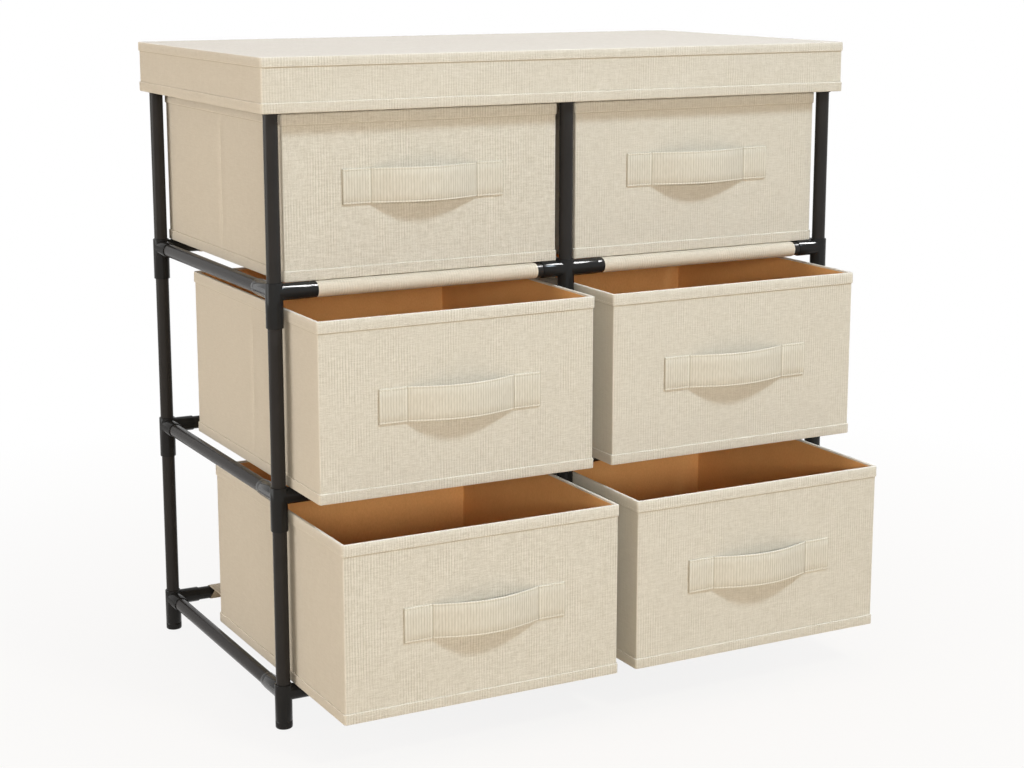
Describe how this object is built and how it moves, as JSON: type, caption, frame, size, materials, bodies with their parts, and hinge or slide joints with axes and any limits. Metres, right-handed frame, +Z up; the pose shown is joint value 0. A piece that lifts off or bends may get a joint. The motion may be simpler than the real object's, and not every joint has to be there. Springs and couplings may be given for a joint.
{
  "type": "drawer cabinet",
  "caption": "Tube-frame cabinet with fabric drawers that slide on fabric shelves, webbing handles and a box-shaped fabric cover over a top board.",
  "frame": {"origin": "on the floor, under the middle of the whole cabinet as it stands with the middle drawers 65 mm and the bottom drawers 107.5 mm open", "axes": "+Z up, the drawers face and open towards -Y, +X to the right as seen from the front"},
  "size_m": [0.556, 0.4098, 0.55],
  "materials": {
    "frame_tube": "satin black powder coat",
    "connector": "moulded black plastic with a light gloss",
    "linen": "cream linen-look woven fabric with sewn bindings",
    "webbing": "cream ribbed webbing",
    "board": "raw fibreboard",
    "lining": "brown non-woven lining over stiff board"
  },
  "bodies": {
    "frame": {"post_front_left": "frame_tube", "post_front_centre": "frame_tube", "post_front_right": "frame_tube", "post_back_left": "frame_tube", "post_back_centre": "frame_tube", "post_back_right": "frame_tube", "connector_bottom_front_left": "connector", "connector_bottom_front_centre": "connector", "connector_bottom_front_right": "connector", "connector_bottom_back_left": "connector", "connector_bottom_back_centre": "connector", "connector_bottom_back_right": "connector", "connector_middle_front_left": "connector", "connector_middle_front_centre": "connector", "connector_middle_front_right": "connector", "connector_middle_back_left": "connector", "connector_middle_back_centre": "connector", "connector_middle_back_right": "connector", "connector_upper_front_left": "connector", "connector_upper_front_centre": "connector", "connector_upper_front_right": "connector", "connector_upper_back_left": "connector", "connector_upper_back_centre": "connector", "connector_upper_back_right": "connector", "depth_rail_bottom_left": "frame_tube", "depth_rail_bottom_centre": "frame_tube", "depth_rail_bottom_right": "frame_tube", "depth_rail_middle_left": "frame_tube", "depth_rail_middle_centre": "frame_tube", "depth_rail_middle_right": "frame_tube", "depth_rail_upper_left": "frame_tube", "depth_rail_upper_centre": "frame_tube", "depth_rail_upper_right": "frame_tube", "shelf_bottom_left": "linen", "shelf_bottom_right": "linen", "shelf_middle_left": "linen", "shelf_middle_right": "linen", "shelf_upper_left": "linen", "shelf_upper_right": "linen", "top_frame": "frame_tube", "top_board": "board", "top_cover": "linen"},
    "drawer_bottom_left": {"drawer_bottom_left_box": "linen", "drawer_bottom_left_floor": "lining", "drawer_bottom_left_handle": "webbing"},
    "drawer_bottom_right": {"drawer_bottom_right_box": "linen", "drawer_bottom_right_floor": "lining", "drawer_bottom_right_handle": "webbing"},
    "drawer_middle_left": {"drawer_middle_left_box": "linen", "drawer_middle_left_floor": "lining", "drawer_middle_left_handle": "webbing"},
    "drawer_middle_right": {"drawer_middle_right_box": "linen", "drawer_middle_right_floor": "lining", "drawer_middle_right_handle": "webbing"},
    "drawer_upper_left": {"drawer_upper_left_box": "linen", "drawer_upper_left_floor": "lining", "drawer_upper_left_handle": "webbing"},
    "drawer_upper_right": {"drawer_upper_right_box": "linen", "drawer_upper_right_floor": "lining", "drawer_upper_right_handle": "webbing"}
  },
  "joints": [
    {"name": "drawer_bottom_left_slide", "type": "slide", "parent": "frame", "child": "drawer_bottom_left", "axis": [0, -1, 0], "range_m": [-0.1075, 0.1025]},
    {"name": "drawer_bottom_right_slide", "type": "slide", "parent": "frame", "child": "drawer_bottom_right", "axis": [0, -1, 0], "range_m": [-0.1075, 0.1025]},
    {"name": "drawer_middle_left_slide", "type": "slide", "parent": "frame", "child": "drawer_middle_left", "axis": [0, -1, 0], "range_m": [-0.065, 0.145]},
    {"name": "drawer_middle_right_slide", "type": "slide", "parent": "frame", "child": "drawer_middle_right", "axis": [0, -1, 0], "range_m": [-0.065, 0.145]},
    {"name": "drawer_upper_left_slide", "type": "slide", "parent": "frame", "child": "drawer_upper_left", "axis": [0, -1, 0], "range_m": [0, 0.21]},
    {"name": "drawer_upper_right_slide", "type": "slide", "parent": "frame", "child": "drawer_upper_right", "axis": [0, -1, 0], "range_m": [0, 0.21]}
  ]
}
